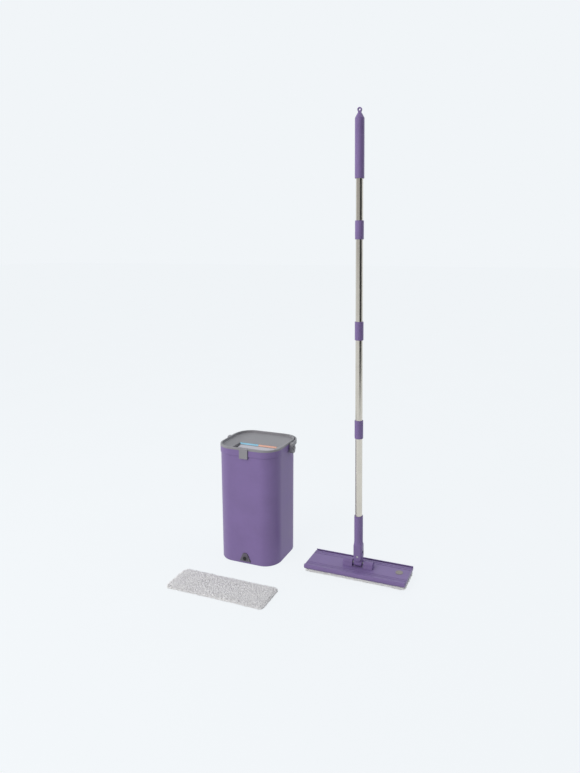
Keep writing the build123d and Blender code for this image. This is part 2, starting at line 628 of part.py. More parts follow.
for number, middle in enumerate(reversed(COLLAR_HEIGHTS), start=1):
    with BuildPart() as collar:
        with BuildSketch(mop_level(middle - COLLAR_LENGTH / 2)):
            Circle(COLLAR_RADIUS)
        extrude(amount=COLLAR_LENGTH)
        chamfer(collar.edges().filter_by(GeomType.CIRCLE), COLLAR_BEVEL)
        with BuildSketch(mop_level(middle - COLLAR_LENGTH / 2)):
            Circle(PLUG_OUTER + PIN_FIT)
        extrude(amount=COLLAR_LENGTH, mode=Mode.SUBTRACT)
        with BuildSketch(mop_level(middle - COLLAR_LENGTH / 2), mop_level(middle + COLLAR_WEB / 2)):
            Circle(TUBE_RADIUS + PIN_FIT)
        extrude(amount=(COLLAR_LENGTH - COLLAR_WEB) / 2, mode=Mode.SUBTRACT)
    collar.part.label = f"collar_{number}"
    export_step(collar.part, f"parts/collar_{number}.step")

    with BuildPart() as joint_plug:
        with BuildSketch(mop_level(middle - JOINT_PLUG_LENGTH / 2)):
            Circle(PLUG_OUTER)
        extrude(amount=JOINT_PLUG_LENGTH)
    joint_plug.part.label = f"joint_plug_{number}"
    export_step(joint_plug.part, f"parts/joint_plug_{number}.step")

with BuildPart() as grip:
    with BuildSketch(mop_level(GRIP_LOW)):
        Circle(GRIP_RADIUS)
    extrude(amount=GRIP_LENGTH)
    fillet(grip.edges().group_by(Axis.Z)[0], GRIP_ROUND)
    with BuildSketch(mop_level(GRIP_LOW)):
        Circle(TUBE_RADIUS + PIN_FIT)
    extrude(amount=GRIP_TUBE_DEPTH, mode=Mode.SUBTRACT)
    with BuildSketch(mop_level(GRIP_TOP - CAP_SPIGOT)):
        Circle(CAP_SPIGOT_RADIUS + PIN_FIT)
    extrude(amount=CAP_SPIGOT, mode=Mode.SUBTRACT)
grip.part.label = "grip"
export_step(grip.part, "parts/grip.step")

STEM_TOP = CAP_TOP + EYE_GAP
with BuildPart() as grip_cap:
    with BuildSketch(mop_level(GRIP_TOP)):
        Circle(GRIP_RADIUS)
    with BuildSketch(mop_level(CAP_TOP)):
        Circle(CAP_TOP_RADIUS)
    loft()
    with BuildSketch(mop_level(GRIP_TOP - CAP_SPIGOT)):
        Circle(CAP_SPIGOT_RADIUS)
    extrude(amount=CAP_SPIGOT)
    # Bore for the hanging eye's stem, wider below for the stem's head
    with BuildSketch(mop_level(GRIP_TOP - CAP_SPIGOT)):
        Circle(EYE_STEM_RADIUS + PIN_FIT)
    extrude(amount=CAP_SPIGOT + CAP_SHOULDER, mode=Mode.SUBTRACT)
    with BuildSketch(mop_level(GRIP_TOP - CAP_SPIGOT)):
        Circle(EYE_HEAD_RADIUS + EYE_GAP)
    extrude(amount=CAP_SPIGOT + CAP_SHOULDER - EYE_STEM_LENGTH, mode=Mode.SUBTRACT)
grip_cap.part.label = "grip_cap"
export_step(grip_cap.part, "parts/grip_cap.step")

EYE_MIDDLE = EYE_TOP - EYE_WIDTH / 2
with BuildPart() as hang_eye:
    with BuildSketch(facing_back(MOP_X, MOP_Y - EYE_THICK / 2, 0)):
        with Locations((0, EYE_MIDDLE)):
            Circle(EYE_WIDTH / 2)
        with Locations((0, (STEM_TOP + EYE_MIDDLE) / 2)):
            Rectangle(EYE_WAIST, EYE_MIDDLE - STEM_TOP)
        with Locations((0, EYE_MIDDLE)):
            Circle(EYE_HOLE_RADIUS, mode=Mode.SUBTRACT)
    extrude(amount=EYE_THICK)
    fillet(hang_eye.faces().filter_by(Axis.Y).edges().filter_by(GeomType.CIRCLE), EYE_ROUND)
    with BuildSketch(mop_level(CAP_TOP - EYE_STEM_LENGTH)):
        Circle(EYE_STEM_RADIUS)
    extrude(amount=EYE_STEM_LENGTH + EYE_GAP)
    with BuildSketch(mop_level(CAP_TOP - EYE_STEM_LENGTH - EYE_GAP - EYE_HEAD_LENGTH)):
        Circle(EYE_HEAD_RADIUS)
    extrude(amount=EYE_HEAD_LENGTH)
    with BuildSketch(mop_level(CAP_TOP - EYE_STEM_LENGTH - EYE_GAP)):
        Circle(EYE_STEM_RADIUS)
    extrude(amount=EYE_GAP)
hang_eye.part.label = "hang_eye"
export_step(hang_eye.part, "parts/hang_eye.step")

# ======== Mop: neck and two-way joint ========

FORK_SLOT = TONGUE_THICK + 2 * TONGUE_GAP
FORK_ROOF = NECK_PIN_Z + BARREL_LENGTH / 2 + FORK_ROOF_GAP
EAR_LOW = NECK_PIN_Z - NECK_SIZE / 2

with BuildPart() as neck:
    with BuildSketch(mop_level(EAR_LOW)):
        RectangleRounded(NECK_SIZE, NECK_SIZE, FORK_CORNER)
    extrude(amount=FORK_TOP - EAR_LOW)
    # Ears end round about the neck pin
    with BuildSketch(facing_back(MOP_X, MOP_Y - NECK_SIZE / 2, NECK_PIN_Z)):
        Circle(NECK_SIZE / 2)
        with Locations((0, (FORK_TOP - NECK_PIN_Z) / 2)):
            Rectangle(NECK_SIZE, FORK_TOP - NECK_PIN_Z)
    extrude(amount=NECK_SIZE, mode=Mode.INTERSECT)
    with BuildSketch(mop_level(FORK_TOP)):
        RectangleRounded(NECK_SIZE, NECK_SIZE, FORK_CORNER)
    with BuildSketch(mop_level(FORK_TOP + FORK_BLEND)):
        Circle(NECK_SIZE / 2)
    loft()
    with BuildSketch(mop_level(FORK_TOP + FORK_BLEND)):
        Circle(NECK_SIZE / 2)
    extrude(amount=NECK_TOP - FORK_TOP - FORK_BLEND)
    fillet(neck.edges().group_by(Axis.Z)[-1], NECK_ROUND)
    with BuildSketch(mop_level(SOCKET_FLOOR)):
        Circle(TUBE_RADIUS + PIN_FIT)
    extrude(amount=NECK_TOP - SOCKET_FLOOR, mode=Mode.SUBTRACT)
    with BuildSketch(across(MOP_X - NECK_SIZE / 2, MOP_Y)):
        with Locations((0, FORK_ROOF / 2)):
            Rectangle(FORK_SLOT, FORK_ROOF)
    extrude(amount=NECK_SIZE, mode=Mode.SUBTRACT)
    with BuildSketch(facing_back(MOP_X, MOP_Y - NECK_SIZE, NECK_PIN_Z)):
        Circle(NECK_PIN_RADIUS + PIN_FIT)
    extrude(amount=2 * NECK_SIZE, mode=Mode.SUBTRACT)
neck.part.label = "neck"
export_step(neck.part, "parts/neck.step")

with BuildPart() as neck_pin:
    with BuildSketch(facing_back(MOP_X, MOP_Y - NECK_SIZE / 2 + NECK_PIN_SHY, NECK_PIN_Z)):
        Circle(NECK_PIN_RADIUS)
    extrude(amount=NECK_SIZE - 2 * NECK_PIN_SHY)
neck_pin.part.label = "neck_pin"
export_step(neck_pin.part, "parts/neck_pin.step")

with BuildPart() as cross_piece:
    with BuildSketch(across(MOP_X - BARREL_LENGTH / 2, MOP_Y, TRUNNION_Z)):
        Circle(BARREL_RADIUS)
    extrude(amount=BARREL_LENGTH)
    chamfer(cross_piece.edges().filter_by(GeomType.CIRCLE), BARREL_BEVEL)
    with BuildSketch(facing_back(MOP_X, MOP_Y - TONGUE_THICK / 2, TRUNNION_Z)):
        with Locations((0, NECK_PIN_ABOVE)):
            Circle(BARREL_LENGTH / 2)
        with Locations((0, NECK_PIN_ABOVE / 2)):
            Rectangle(BARREL_LENGTH, NECK_PIN_ABOVE)
    extrude(amount=TONGUE_THICK)
    with BuildSketch(facing_back(MOP_X, MOP_Y - TONGUE_THICK, NECK_PIN_Z)):
        Circle(NECK_PIN_RADIUS + PIN_FIT)
    extrude(amount=2 * TONGUE_THICK, mode=Mode.SUBTRACT)
    with BuildSketch(across(MOP_X - BARREL_LENGTH, MOP_Y, TRUNNION_Z)):
        Circle(TRUNNION_RADIUS + PIN_FIT)
    extrude(amount=2 * BARREL_LENGTH, mode=Mode.SUBTRACT)
cross_piece.part.label = "cross_piece"
export_step(cross_piece.part, "parts/cross_piece.step")

TRUNNION_HALF = BEARING_GAP / 2 + BEARING_LENGTH - BEARING_END_WALL - SIDE_GAP
with BuildPart() as trunnion_pin:
    with BuildSketch(across(MOP_X - TRUNNION_HALF, MOP_Y, TRUNNION_Z)):
        Circle(TRUNNION_RADIUS)
    extrude(amount=2 * TRUNNION_HALF)
trunnion_pin.part.label = "trunnion_pin"
export_step(trunnion_pin.part, "parts/trunnion_pin.step")

# ======== Mop: head ========

RAIL_TOP = PLATE_THICK + RAIL_PROUD
BEARING_MIDDLE = (BEARING_GAP + BEARING_LENGTH) / 2

with BuildPart() as head_plate:
    with BuildSketch(across(MOP_X - HEAD_X / 2, MOP_Y, PLATE_LOW)):
        with BuildLine():
            Polyline(
                (0, 0),
                (HEAD_Y / 2 - UNDERCUT, 0),
                (HEAD_Y / 2 - UNDERCUT, UNDERCUT_HEIGHT),
                (HEAD_Y / 2, UNDERCUT_HEIGHT),
                (HEAD_Y / 2, RAIL_TOP),
                (HEAD_Y / 2 - RAIL_WIDTH, RAIL_TOP),
                (HEAD_Y / 2 - RAIL_WIDTH, PLATE_THICK),
                (0, PLATE_THICK),
            )
            mirror(about=Plane.YZ)
        make_face()
        rail_corners = vertices().group_by(Axis.Y)[-1].sort_by(Axis.X)
        fillet((rail_corners[0], rail_corners[-1]), RAIL_ROUND)
        for offset_y in GROOVE_OFFSETS:
            with Locations((offset_y, PLATE_THICK), (-offset_y, PLATE_THICK)):
                Rectangle(GROOVE_WIDTH, 2 * GROOVE_DEPTH, mode=Mode.SUBTRACT)
        for edge in (HEAD_Y / 2 - RAIL_WIDTH, RAIL_WIDTH - HEAD_Y / 2):
            with Locations((edge, CHANNEL_Z)):
                Circle(CHANNEL_RADIUS, mode=Mode.SUBTRACT)
    extrude(amount=HEAD_X)
    with BuildSketch(mop_level(PLATE_LOW)):
        with GridLocations(2 * BEARING_MIDDLE, SCREW_SPACING, 2, 2):
            Circle(SCREW_RADIUS + PIN_FIT)
    extrude(amount=PLATE_THICK, mode=Mode.SUBTRACT)
    with BuildSketch(mop_level(PLATE_LOW)):
        with GridLocations(2 * BEARING_MIDDLE, SCREW_SPACING, 2, 2):
            Circle(SCREW_HEAD_RADIUS + PIN_FIT)
    extrude(amount=SCREW_HEAD_THICK, mode=Mode.SUBTRACT)
    with BuildSketch(mop_level(PLATE_TOP - BADGE_SUNK)):
        with Locations((BADGE_X, BADGE_Y)):
            Circle(BADGE_RADIUS + PIN_FIT)
    extrude(amount=BADGE_SUNK, mode=Mode.SUBTRACT)
head_plate.part.label = "head_plate"
export_step(head_plate.part, "parts/head_plate.step")

for side, direction in (("right", 1), ("left", -1)):
    with BuildPart() as bearing_cap:
        with BuildSketch(across(MOP_X + direction * BEARING_GAP / 2, MOP_Y, PLATE_TOP)):
            with Locations((0, TRUNNION_ABOVE)):
                Circle(BEARING_RADIUS)
            with BuildLine():
                Polyline(
                    (-BEARING_FOOT / 2, 0),
                    (BEARING_FOOT / 2, 0),
                    (BEARING_RADIUS, TRUNNION_ABOVE),
                    (-BEARING_RADIUS, TRUNNION_ABOVE),
                    close=True,
                )
            make_face()
        extrude(amount=direction * BEARING_LENGTH)
        with BuildSketch(across(MOP_X + direction * BEARING_GAP / 2, MOP_Y, TRUNNION_Z)):
            Circle(TRUNNION_RADIUS + PIN_FIT)
        extrude(amount=direction * (BEARING_LENGTH - BEARING_END_WALL), mode=Mode.SUBTRACT)
        with BuildSketch(mop_level(PLATE_TOP)):
            with Locations((direction * BEARING_MIDDLE, 0)):
                with GridLocations(1, SCREW_SPACING, 1, 2):
                    Circle(SCREW_RADIUS + PIN_FIT)
        extrude(amount=SCREW_INTO_CAP + SIDE_GAP, mode=Mode.SUBTRACT)
    bearing_cap.part.label = f"bearing_cap_{side}"
    export_step(bearing_cap.part, f"parts/bearing_cap_{side}.step")

with BuildPart() as cap_screws:
    with BuildSketch(mop_level(PLATE_LOW)):
        with GridLocations(2 * BEARING_MIDDLE, SCREW_SPACING, 2, 2):
            Circle(SCREW_RADIUS)
    extrude(amount=PLATE_THICK + SCREW_INTO_CAP)
    with BuildSketch(mop_level(PLATE_LOW)):
        with GridLocations(2 * BEARING_MIDDLE, SCREW_SPACING, 2, 2):
            Circle(SCREW_HEAD_RADIUS)
    extrude(amount=SCREW_HEAD_THICK)
cap_screws.part.label = "cap_screws"
export_step(cap_screws.part, "parts/cap_screws.step")

with BuildPart() as badge:
    with BuildSketch(mop_level(PLATE_TOP - BADGE_SUNK)):
        with Locations((BADGE_X, BADGE_Y)):
            Circle(BADGE_RADIUS)
    extrude(amount=BADGE_THICK)
badge.part.label = "badge"
export_step(badge.part, "parts/badge.step")

with BuildPart() as hook_strips:
    with BuildSketch(mop_level(PILE_THICK + BACKING_THICK)):
        with GridLocations(1, HOOK_SPREAD, 1, 2):
            Rectangle(HOOK_X, HOOK_Y)
    extrude(amount=HOOK_THICK)
hook_strips.part.label = "hook_strips"
export_step(hook_strips.part, "parts/hook_strips.step")

# ======== Pads: the one on the head lies pile down, the spare pile up ========

PAD_LAYERS = (
    ("pad_pile", mop_level(0), PILE_THICK),
    ("pad_backing", mop_level(PILE_THICK), BACKING_THICK),
    ("spare_backing", Plane((SPARE_X, SPARE_Y, 0)), BACKING_THICK),
    ("spare_pile", Plane((SPARE_X, SPARE_Y, BACKING_THICK)), PILE_THICK),
)
for name, plane, thickness in PAD_LAYERS:
    with BuildPart() as layer:
        with BuildSketch(plane):
            RectangleRounded(PAD_X, PAD_Y, PAD_CORNER)
        extrude(amount=thickness)
    layer.part.label = name
    export_step(layer.part, f"parts/{name}.step")
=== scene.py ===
import json
import math
import random

import bpy
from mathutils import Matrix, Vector, noise
from mathutils.bvhtree import BVHTree


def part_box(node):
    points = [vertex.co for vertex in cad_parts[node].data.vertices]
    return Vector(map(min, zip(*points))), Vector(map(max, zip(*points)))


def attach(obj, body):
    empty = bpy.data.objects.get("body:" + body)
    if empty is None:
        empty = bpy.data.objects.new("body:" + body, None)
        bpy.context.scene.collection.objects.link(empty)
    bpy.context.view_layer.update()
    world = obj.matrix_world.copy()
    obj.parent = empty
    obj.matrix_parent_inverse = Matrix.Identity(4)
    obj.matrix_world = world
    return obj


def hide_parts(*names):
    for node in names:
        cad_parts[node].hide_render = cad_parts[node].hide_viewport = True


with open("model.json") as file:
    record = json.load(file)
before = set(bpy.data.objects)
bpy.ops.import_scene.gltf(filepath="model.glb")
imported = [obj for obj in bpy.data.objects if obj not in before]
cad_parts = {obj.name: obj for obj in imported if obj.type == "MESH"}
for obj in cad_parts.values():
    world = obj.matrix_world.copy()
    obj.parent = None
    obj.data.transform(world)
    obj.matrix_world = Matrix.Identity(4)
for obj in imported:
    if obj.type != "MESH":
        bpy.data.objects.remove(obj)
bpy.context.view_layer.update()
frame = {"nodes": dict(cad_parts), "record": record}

# Looks for the flat mop, its wringer bucket and the two microfibre pads.
# Metres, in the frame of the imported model: +Z up, -Y the bucket's front.

MM = 0.001

# ---- Colours, linear RGB
PURPLE = (0.245, 0.172, 0.395)
# Purple darkened to about half: painted shade on the drain bezel, greyed a little towards its own colour.
GREYED_PURPLE_PAINTED_SHADE = (0.142, 0.128, 0.160)
GREY = (0.315, 0.312, 0.335)
PALE_GREY = (0.62, 0.61, 0.67)
WHITE_PLASTIC = (0.70, 0.70, 0.69)
STEEL = (0.68, 0.64, 0.57)
PIN_STEEL = (0.56, 0.56, 0.57)
BLACK_RUBBER = (0.022, 0.022, 0.024)
LIP_RUBBER = (0.10, 0.10, 0.11)
LABEL_BLUE = (0.35, 0.72, 0.96)
LABEL_ORANGE = (0.98, 0.54, 0.42)
BADGE = (0.30, 0.27, 0.25)
HOOK = (0.03, 0.03, 0.033)
CLOTH = (0.76, 0.75, 0.78)
PILE = (0.97, 0.96, 0.98)


# ======== Node helpers ========

class Nodes:
    """A node tree with a short way to add and link nodes."""

    def __init__(self, tree):
        self.tree = tree

    def add(self, kind, **settings):
        node = self.tree.nodes.new(kind)
        for key, value in settings.items():
            setattr(node, key, value)
        return node

    def link(self, source, target):
        self.tree.links.new(source, target)

    def math(self, operation, first, second):
        """An operation on two operands, each a number or an output."""
        node = self.add("ShaderNodeMath", operation=operation)
        for socket, value in zip(node.inputs, (first, second)):
            if isinstance(value, (int, float)):
                socket.default_value = value
            else:
                self.link(value, socket)
        return node.outputs[0]

    def blend(self, first, second, share):
        """The second output's share, and the rest from the first."""
        return self.math("ADD", self.math("MULTIPLY", first, 1 - share), self.math("MULTIPLY", second, share))

    def ramp(self, fac, low, high, start=0.0, end=1.0):
        """Blends two colours as fac goes from start to end."""
        node = self.add("ShaderNodeValToRGB")
        node.color_ramp.elements[0].position = start
        node.color_ramp.elements[0].color = (*low, 1)
        node.color_ramp.elements[1].position = end
        node.color_ramp.elements[1].color = (*high, 1)
        self.link(fac, node.inputs["Fac"])
        return node.outputs["Color"]

    def span(self, fac, low, high, start=0.0, end=1.0):
        """Blends two numbers as fac goes from start to end."""
        node = self.add("ShaderNodeMapRange")
        node.inputs["From Min"].default_value = start
        node.inputs["From Max"].default_value = end
        node.inputs["To Min"].default_value = low
        node.inputs["To Max"].default_value = high
        self.link(fac, node.inputs["Value"])
        return node.outputs["Result"]


class Shader(Nodes):
    """A new material's node tree, with its Principled node and textures placed by object coordinates."""

    def __init__(self, name):
        self.material = bpy.data.materials.new(name)
        self.material.use_nodes = True
        super().__init__(self.material.node_tree)
        self.base = self.tree.nodes["Principled BSDF"]
        self.place = self.add("ShaderNodeTexCoord").outputs["Object"]

    def set(self, **values):
        for key, value in values.items():
            self.base.inputs[key.replace("_", " ")].default_value = value

    def stretch(self, scale):
        """Object coordinates times a scale for each axis."""
        node = self.add("ShaderNodeMapping")
        node.inputs["Scale"].default_value = scale
        self.link(self.place, node.inputs["Vector"])
        return node.outputs["Vector"]

    def noise(self, scale, detail=3.0, roughness=0.55, vector=None):
        node = self.add("ShaderNodeTexNoise")
        node.inputs["Scale"].default_value = scale
        node.inputs["Detail"].default_value = detail
        node.inputs["Roughness"].default_value = roughness
        self.link(vector or self.place, node.inputs["Vector"])
        return node.outputs["Fac"]

    def cells(self, scale, vector=None):
        node = self.add("ShaderNodeTexVoronoi")
        node.inputs["Scale"].default_value = scale
        self.link(vector or self.place, node.inputs["Vector"])
        return node.outputs["Distance"]

    def color(self, output):
        self.link(output, self.base.inputs["Base Color"])

    def roughness(self, output):
        self.link(output, self.base.inputs["Roughness"])

    def bump(self, *layers, edge_radius=0.0):
        """Stacks bump layers, each (height, distance, strength), over edges softened by edge_radius."""
        normal = None
        if edge_radius:
            edge = self.add("ShaderNodeBevel", samples=6)
            edge.inputs["Radius"].default_value = edge_radius
            normal = edge.outputs["Normal"]
        for height, distance, strength in layers:
            node = self.add("ShaderNodeBump")
            node.inputs["Distance"].default_value = distance
            node.inputs["Strength"].default_value = strength
            self.link(height, node.inputs["Height"])
            if normal:
                self.link(normal, node.inputs["Normal"])
            normal = node.outputs["Normal"]
        self.link(normal, self.base.inputs["Normal"])


def tint(color, factor):
    """A colour made lighter or darker by a factor."""
    return tuple(min(1.0, channel * factor) for channel in color)


# ======== Materials ========

def moulded_plastic(name, color, roughness=0.42, grain=0.00004, edge_radius=0.0008):
    """Injection-moulded polypropylene: spark-eroded grain, faint flow clouds, handling sheen."""
    s = Shader(name)
    clouds = s.noise(14, detail=4, roughness=0.6)
    specks = s.noise(2600, detail=2)
    scuffs = s.noise(240, detail=6, roughness=0.7, vector=s.stretch((1, 1, 0.25)))
    mottle = s.blend(clouds, specks, share=0.2)
    s.color(s.ramp(mottle, tint(color, 0.93), tint(color, 1.07), start=0.32, end=0.68))
    wear = s.math("ADD", clouds, s.math("MULTIPLY", scuffs, 0.5))
    s.roughness(s.span(wear, roughness - 0.07, roughness + 0.09, start=0.5, end=1.0))
    s.set(IOR=1.49, Specular_IOR_Level=0.45)
    spark_grain = (s.noise(1700, detail=3, roughness=0.6), grain, 0.5)
    sink_marks = (s.noise(38, detail=2), 0.0004, 0.10)
    s.bump(spark_grain, sink_marks, edge_radius=edge_radius)
    return s.material


def brushed_steel(name, color, roughness=0.24, stretch=(900, 900, 6)):
    """Drawn stainless tube: hair lines along its length and soft polish streaks."""
    s = Shader(name)
    lines = s.noise(1, detail=5, roughness=0.65, vector=s.stretch(stretch))
    streaks = s.noise(1, detail=3, vector=s.stretch(tuple(v / 9 for v in stretch)))
    clouds = s.noise(22, detail=3)
    mottle = s.blend(lines, clouds, share=0.5)
    s.color(s.ramp(mottle, tint(color, 0.92), tint(color, 1.06), start=0.35, end=0.65))
    polish = s.math("ADD", lines, streaks)
    s.roughness(s.span(polish, roughness - 0.05, roughness + 0.10, start=0.7, end=1.3))
    s.set(Metallic=1.0)
    s.bump((lines, 0.00003, 0.15), edge_radius=0.0004)
    return s.material


def rubber(name, color, roughness=0.62):
    """Moulded rubber: dusty bloom in patches over a fine pebble."""
    s = Shader(name)
    bloom = s.noise(120, detail=5, roughness=0.65)
    s.color(s.ramp(bloom, color, tuple(channel + 0.02 for channel in color), start=0.45, end=0.8))
    s.roughness(s.span(bloom, roughness - 0.08, roughness + 0.12, start=0.35, end=0.7))
    s.bump((s.noise(1500, detail=3), 0.00006, 0.5), edge_radius=0.0006)
    return s.material


def printed_film(name, color):
    """Printed label film: fine halftone grain and orange-peel gloss."""
    s = Shader(name)
    dots = s.cells(2400)
    ink = s.blend(dots, s.noise(60), share=0.6)
    s.color(s.ramp(ink, tint(color, 0.93), tint(color, 1.08), start=0.25, end=0.6))
    s.roughness(s.span(s.noise(300, detail=4), 0.22, 0.36, start=0.35, end=0.65))
    s.bump((s.noise(420, detail=2), 0.00003, 0.4), edge_radius=0.0002)
    return s.material


def hook_tape():
    """Woven hook tape: rows of tiny stiff hooks on a dark ground."""
    s = Shader("hook_tape")
    rows = s.cells(900, vector=s.stretch((1, 1.4, 1)))
    s.color(s.ramp(rows, tint(HOOK, 2.2), tint(HOOK, 0.6), start=0.05, end=0.5))
    s.roughness(s.span(rows, 0.4, 0.8))
    s.bump((rows, 0.0004, 0.8))
    return s.material


def knitted_cloth():
    """Polyester backing knit: wales along the pad, crossed by courses, with slight fading."""
    s = Shader("knitted_cloth")
    threads = []
    for direction, scale, distortion in (("Y", 190, 1.2), ("X", 260, 0.8)):
        wave = s.add("ShaderNodeTexWave", wave_type="BANDS", bands_direction=direction, wave_profile="SIN")
        wave.inputs["Scale"].default_value = scale
        wave.inputs["Distortion"].default_value = distortion
        s.link(s.place, wave.inputs["Vector"])
        threads.append(wave.outputs["Fac"])
    knit = s.math("MULTIPLY", *threads)
    fade = s.noise(30, detail=4)
    s.color(s.ramp(s.blend(knit, fade, share=0.5), tint(CLOTH, 0.8), tint(CLOTH, 1.1), start=0.2, end=0.75))
    s.roughness(s.span(fade, 0.8, 0.95, start=0.3, end=0.7))
    s.set(Sheen_Weight=0.25, Sheen_Roughness=0.5)
    s.bump((knit, 0.0003, 0.7))
    return s.material


def microfibre():
    """Split microfibre loops: fine strands along each tuft, clumps and patches of tone, soft sheen."""
    s = Shader("microfibre")
    strands = s.noise(1, detail=4, roughness=0.7, vector=s.stretch((1900, 1900, 500)))
    clumps = s.cells(210)
    patches = s.noise(26, detail=4, roughness=0.6)
    broad = s.math("ADD", s.math("MULTIPLY", clumps, 0.3), s.math("MULTIPLY", patches, 0.45))
    tone = s.math("ADD", s.math("MULTIPLY", strands, 0.35), broad)
    s.color(s.ramp(tone, tint(PILE, 0.91), tint(PILE, 1.04), start=0.3, end=0.8))
    s.roughness(s.span(strands, 0.82, 0.98, start=0.3, end=0.7))
    s.set(Sheen_Weight=0.6, Sheen_Roughness=0.45)
    s.bump((strands, 0.0004, 0.6))
    return s.material


LOOKS = {
    "purple_plastic": moulded_plastic("purple_plastic", PURPLE),
    # painted shade: a darkened, slightly greyed copy of the purple plastic
    "purple_deep": moulded_plastic("purple_deep", GREYED_PURPLE_PAINTED_SHADE, roughness=0.38),
    "purple_grip": moulded_plastic("purple_grip", PURPLE, roughness=0.25, grain=0.00002),
    "grey_plastic": moulded_plastic("grey_plastic", GREY, roughness=0.46),
    "light_plastic": moulded_plastic("light_plastic", PALE_GREY, roughness=0.34, grain=0.00002),
    "white_plastic": moulded_plastic("white_plastic", WHITE_PLASTIC, roughness=0.35, grain=0.00002),
    "black_rubber": rubber("black_rubber", BLACK_RUBBER),
    "lip_rubber": rubber("lip_rubber", LIP_RUBBER, roughness=0.55),
    "stainless": brushed_steel("stainless", STEEL),
    "pin_steel": brushed_steel("pin_steel", PIN_STEEL, roughness=0.28, stretch=(500, 500, 500)),
    "label_blue": printed_film("label_blue", LABEL_BLUE),
    "label_orange": printed_film("label_orange", LABEL_ORANGE),
    "badge_grey": moulded_plastic("badge_grey", BADGE, roughness=0.3, grain=0.00001),
    "hook_tape": hook_tape(),
    "pad_cloth": knitted_cloth(),
    "pad_pile": microfibre(),
}

SLOT_OF = {entry["node"]: entry["material_slot"] for entry in frame["record"]["subparts"]}
for node, piece in frame["nodes"].items():
    piece.data.materials.clear()
    piece.data.materials.append(LOOKS[SLOT_OF[node]])


# ======== Microfibre pads ========

PAD_INSET = 1.2 * MM      # the core stops this far inside the CAD pad's outline
CORE_CELL = 5 * MM
CORE_CORNER = 11 * MM
CORE_THICK = 7 * MM
CORE_EDGE = 0.55          # the bound edge's thickness, as a share of the core's
CORE_BULGE = 1.5 * MM     # most that a core's point may move in the simulation
SPARE_RISE = 0.3 * MM     # the spare pad's core stands this far above the floor
HEAD_GAP = 0.1 * MM       # and the mop pad's core hangs this far below its hook strips

SIM_FRAMES = 20
CLOTH_SETTINGS = {
    "quality": 6,
    "mass": 0.2,
    "tension_stiffness": 12,
    "bending_stiffness": 1.2,
    "use_pressure": True,
    "uniform_pressure_force": 4,
}
CRUMPLE = 0.5 * MM        # height of the slow waves in a limp pad
CRUMPLE_SCALES = ((26, 1.0), (70, 0.5))   # frequency of each wave, share of the height

PILE_SEED = 7
PILE_OVER = 1.5 * MM      # the spare pad's pile may rise this far above the CAD's
PILE_UNDER = 0.2 * MM     # and the mop pad's stops this far above the CAD's underside
PILE_FLOOR = 0.1 * MM     # the lowest height of any loop
TUFT_PITCH = 3.3 * MM
TUFT_JITTER = 0.9 * MM
TUFT_RADIUS = 1.85 * MM
TUFT_LENGTH = 2.7 * MM
TUFT_ROOT = 0.8 * MM      # how far a tuft starts inside the core
TUFT_BEND = 1.1 * MM
TUFT_SIDES = 5
TUFT_TWIST = 0.5          # turn from one ring to the next, radians
TUFT_PROFILE = ((0.0, 0.7), (0.4, 1.0), (0.75, 1.0), (1.0, 0.6))   # share of the height, share of the radius
TIP_HEIGHT = 1.12         # the tip's height and bend, as shares of the tuft's
TIP_BEND = 1.1
SPLAY_WIDTH = 2.2 * TUFT_PITCH   # tufts nearer to the edge than this lean outwards
SPLAY_LEAN = 1.5
SPLAY_BEND = 1.8 * MM
SIDE_STEEP = 0.5          # a core's face counts as its edge when its normal rises less than this
SIDE_BEND = 1 * MM
SIDE_ROOTS = ((0.25, 0.3), (0.75, 0.3), (0.25, 0.8), (0.75, 0.8))   # share of its length, share of its height


def add_piece(name, vertices, faces, material):
    mesh = bpy.data.meshes.new(name)
    mesh.from_pydata(vertices, [], faces)
    mesh.materials.append(material)
    for polygon in mesh.polygons:
        polygon.use_smooth = True
    piece = bpy.data.objects.new(name, mesh)
    bpy.context.scene.collection.objects.link(piece)
    return piece


def clamp(value, low, high):
    return min(max(value, low), high)


def rounded_in(x, y, half_x, half_y, radius):
    """Moves a point of a rectangle into the same rectangle with round corners."""
    over_x = abs(x) - (half_x - radius)
    over_y = abs(y) - (half_y - radius)
    if over_x <= 0 or over_y <= 0:
        return x, y
    shrink = max(over_x, over_y) / math.hypot(over_x, over_y)
    return (math.copysign(half_x - radius + over_x * shrink, x),
            math.copysign(half_y - radius + over_y * shrink, y))


def core_mesh(name, low, high, material):
    """A closed slab of square cells between two corners, with round corners and a thin bound edge."""
    half = (high - low) / 2
    middle = (high + low) / 2
    count_x = round(2 * half.x / CORE_CELL)
    count_y = round(2 * half.y / CORE_CELL)
    vertices, faces, index = [], [], {}

    def point(i, j, top):
        key = (i, j, top)
        if key not in index:
            x = (2 * i / count_x - 1) * half.x
            y = (2 * j / count_y - 1) * half.y
            x, y = rounded_in(x, y, half.x, half.y, CORE_CORNER)
            border = i in (0, count_x) or j in (0, count_y)
            height = half.z * (CORE_EDGE if border else 1.0)
            index[key] = len(vertices)
            vertices.append(middle + Vector((x, y, height if top else -height)))
        return index[key]

    def face(*corners):
        faces.append(tuple(point(*corner) for corner in corners))

    for i in range(count_x):
        for j in range(count_y):
            face((i, j, True), (i + 1, j, True), (i + 1, j + 1, True), (i, j + 1, True))
            face((i, j, False), (i, j + 1, False), (i + 1, j + 1, False), (i + 1, j, False))
    for i in range(count_x):
        face((i, 0, False), (i + 1, 0, False), (i + 1, 0, True), (i, 0, True))
        face((i + 1, count_y, False), (i, count_y, False), (i, count_y, True), (i + 1, count_y, True))
    for j in range(count_y):
        face((0, j + 1, False), (0, j, False), (0, j, True), (0, j + 1, True))
        face((count_x, j, False), (count_x, j + 1, False), (count_x, j + 1, True), (count_x, j, True))
    return add_piece(name, vertices, faces, material)


